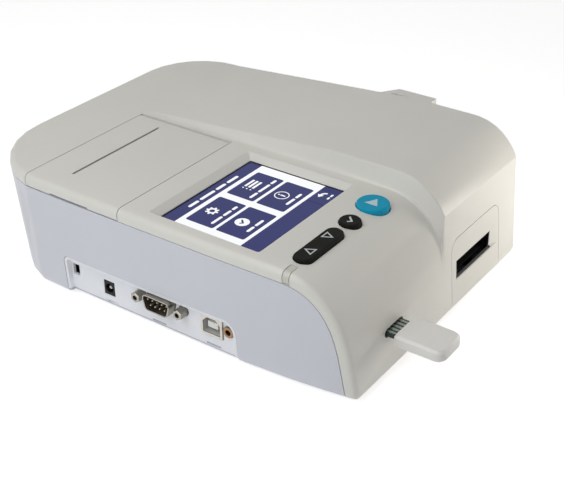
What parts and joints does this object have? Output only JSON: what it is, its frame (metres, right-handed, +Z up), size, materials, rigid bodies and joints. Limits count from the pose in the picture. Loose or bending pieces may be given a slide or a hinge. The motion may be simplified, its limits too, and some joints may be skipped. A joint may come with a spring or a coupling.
{
  "type": "immunofluorescence analyzer",
  "caption": "Bench-top immunofluorescence analyzer with a touch display, keys, a receipt printer, a test card slot, a code chip and a row of connectors in its side.",
  "frame": {"origin": "under the middle of the whole outline, on the plane that the rubber feet stand on", "axes": "+X to the user's right, +Y from the front with the slots to the rear, +Z up"},
  "size_m": [0.174, 0.2432, 0.0707],
  "materials": {
    "case_white": "satin moulded",
    "panel_white": "satin moulded",
    "inner_grey": "moulded",
    "dark_plastic": "moulded",
    "key_black": "soft-touch",
    "key_teal": "soft-touch",
    "light_pipe": "frosted",
    "glass_dark": "polished",
    "board_green": "solder mask",
    "steel": "ground",
    "nickel": "nickel plated",
    "brass": "turned",
    "aluminium": "machined",
    "rubber_black": "moulded",
    "platen_rubber": "ground",
    "paper": "uncoated",
    "gear_white": "moulded",
    "lens_glass": "polished"
  },
  "bodies": {
    "case": {"upper_cover": "case_white", "lower_case": "case_white", "printer_cover_pin": "steel", "status_light_pipe": "light_pipe", "card_slot_panel": "case_white", "touch_panel": "glass_dark", "display_module": "dark_plastic", "display_frame": "aluminium", "keypad_board": "board_green", "dome_sheet": "steel", "printer_bay": "inner_grey", "printer_motor": "steel", "thermal_head": "aluminium", "card_guide": "inner_grey", "rail_plate_front": "aluminium", "rail_plate_rear": "aluminium", "guide_rod_left": "steel", "guide_rod_right": "steel", "stepper_motor": "steel", "chip_socket": "dark_plastic", "connector_panel": "panel_white", "power_jack": "dark_plastic", "power_jack_pin": "nickel", "serial_shell": "nickel", "serial_insulator": "dark_plastic", "serial_jackscrew_front": "nickel", "serial_jackscrew_rear": "nickel", "usb_socket": "nickel", "usb_tongue": "case_white", "probe_jack": "brass", "main_board": "board_green", "board_screw_left": "steel", "board_screw_right": "steel", "side_cowl": "case_white", "case_screw_front_left": "steel", "rubber_foot_front_left": "rubber_black", "case_screw_front_right": "steel", "rubber_foot_front_right": "rubber_black", "case_screw_rear_left": "steel", "rubber_foot_rear_left": "rubber_black", "case_screw_rear_right": "steel", "rubber_foot_rear_right": "rubber_black"},
    "cover": {"printer_cover": "case_white"},
    "paper": {"paper_roll": "paper", "paper_spindle": "inner_grey"},
    "platen": {"platen_roller": "platen_rubber", "platen_shaft": "steel", "platen_gear": "gear_white"},
    "pinion": {"motor_pinion": "brass"},
    "rocker": {"rocker_key": "key_black"},
    "ok": {"ok_key": "key_black"},
    "start": {"start_key": "key_teal"},
    "code_chip": {"code_chip_body": "case_white", "code_chip_board": "board_green"},
    "optics": {"optics_housing": "dark_plastic", "objective_lens": "lens_glass", "light_sensor": "dark_plastic", "screw_nut": "brass"},
    "screw": {"lead_screw": "steel"}
  },
  "joints": [
    {"name": "printer_cover_hinge", "type": "hinge", "parent": "case", "child": "cover", "pos_m": [-0.0059, 0.05555, 0.06], "axis": [0, 1, 0], "range_deg": [0, 95]},
    {"name": "platen_spin", "type": "hinge", "parent": "case", "child": "platen", "pos_m": [-0.04215, 0.07215, 0.0468], "axis": [1, 0, 0], "continuous": true},
    {"name": "paper_spin", "type": "hinge", "parent": "case", "child": "paper", "pos_m": [-0.04215, 0.04605, 0.0395], "axis": [1, 0, 0], "continuous": true},
    {"name": "pinion_spin", "type": "hinge", "parent": "case", "child": "pinion", "pos_m": [-0.0745, 0.07435, 0.0336], "axis": [1, 0, 0], "continuous": true},
    {"name": "rocker_tilt", "type": "hinge", "parent": "case", "child": "rocker", "pos_m": [-0.0614, -0.06425, 0.0567], "axis": [0, 1, 0], "range_deg": [-3.5, 3.5], "stiffness_Nm_per_rad": 0.3},
    {"name": "ok_press", "type": "slide", "parent": "case", "child": "ok", "axis": [0, 0, -1], "range_m": [0, 0.001], "stiffness_N_per_m": 1500},
    {"name": "start_press", "type": "slide", "parent": "case", "child": "start", "axis": [0, 0, -1], "range_m": [0, 0.001], "stiffness_N_per_m": 1500},
    {"name": "code_chip_slide", "type": "slide", "parent": "case", "child": "code_chip", "axis": [0, 1, 0], "range_m": [-0.02, 0.0046]},
    {"name": "optics_travel", "type": "slide", "parent": "case", "child": "optics", "axis": [0, -1, 0], "range_m": [0, 0.04]},
    {"name": "screw_turn", "type": "hinge", "parent": "case", "child": "screw", "pos_m": [0.03085, -0.06795, 0.0445], "axis": [0, 1, 0], "continuous": true}
  ],
  "couplings": [
    {"joint": "paper_spin", "follows": "platen_spin", "ratio": -0.35811},
    {"joint": "pinion_spin", "follows": "platen_spin", "ratio": -1.6364},
    {"joint": "screw_turn", "follows": "optics_travel", "rad_per_m": 2094.4}
  ]
}
